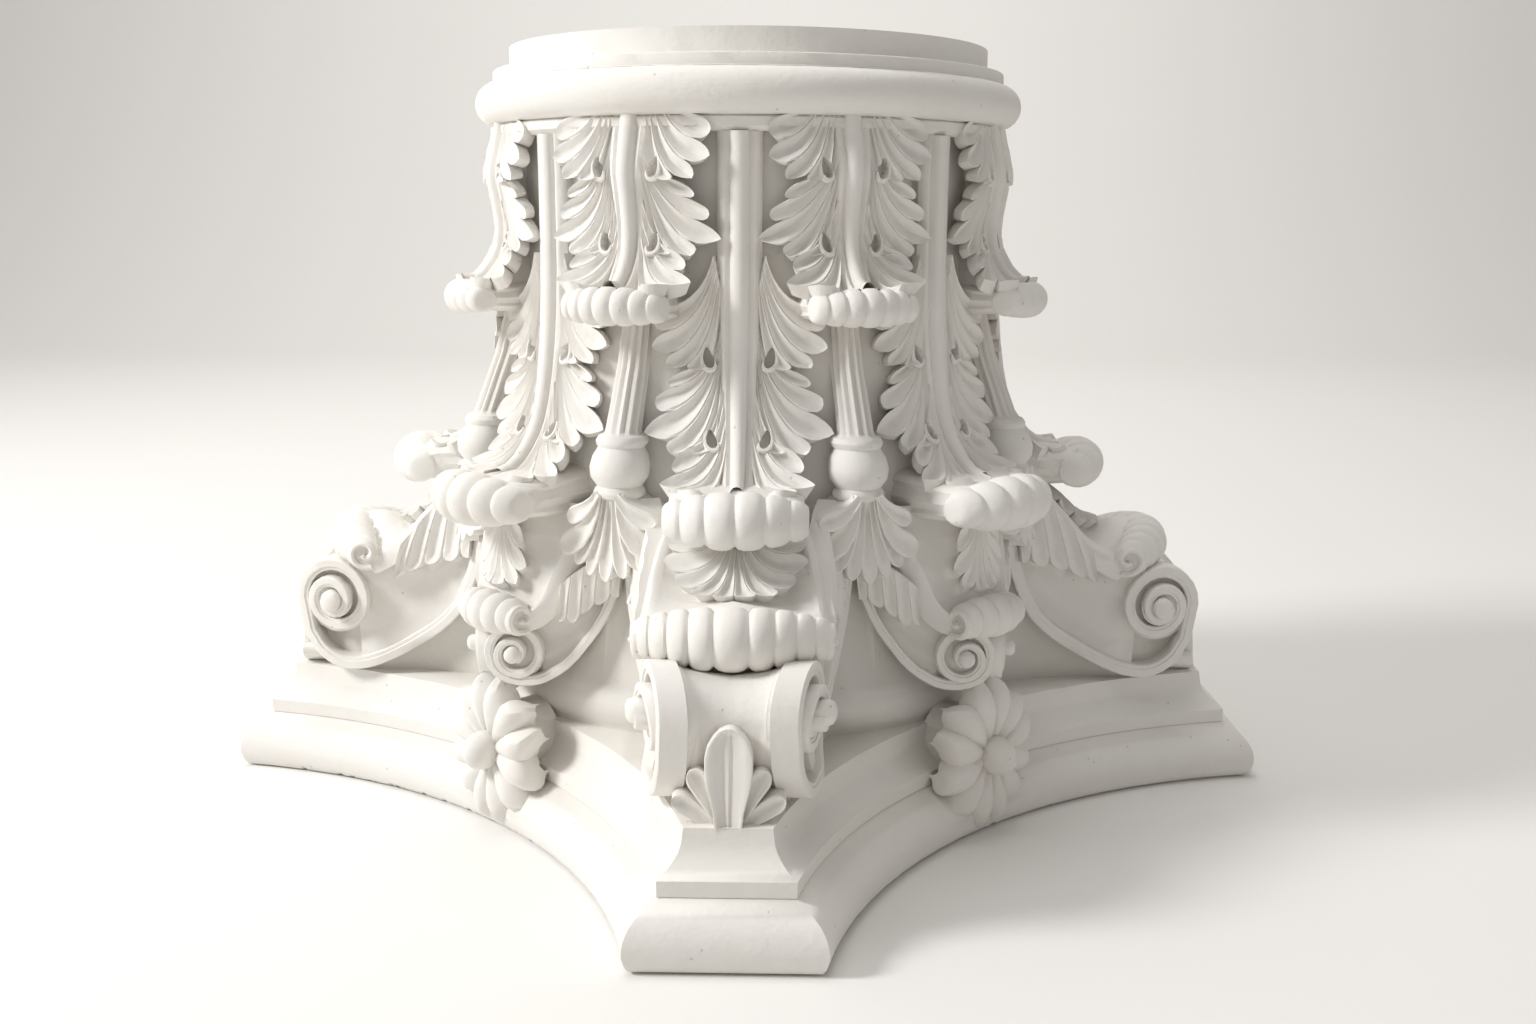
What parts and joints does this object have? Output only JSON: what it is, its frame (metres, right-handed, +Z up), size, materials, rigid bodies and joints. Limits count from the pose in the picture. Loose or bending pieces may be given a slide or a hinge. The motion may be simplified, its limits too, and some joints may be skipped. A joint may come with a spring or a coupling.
{
  "type": "corinthian capital",
  "caption": "Cast corinthian capital with acanthus leaves, corner volutes and hollow-sided abacus, stored upside down on its abacus.",
  "frame": {"origin": "on the floor, at the middle of the abacus", "axes": "+Z up the capital's axis towards the shaft bed, X and Y square to the hollow sides of the abacus"},
  "size_m": [0.63, 0.63, 0.5347],
  "materials": {
    "plaster": "matt"
  },
  "bodies": {
    "root": {"capital": "plaster"}
  },
  "joints": []
}
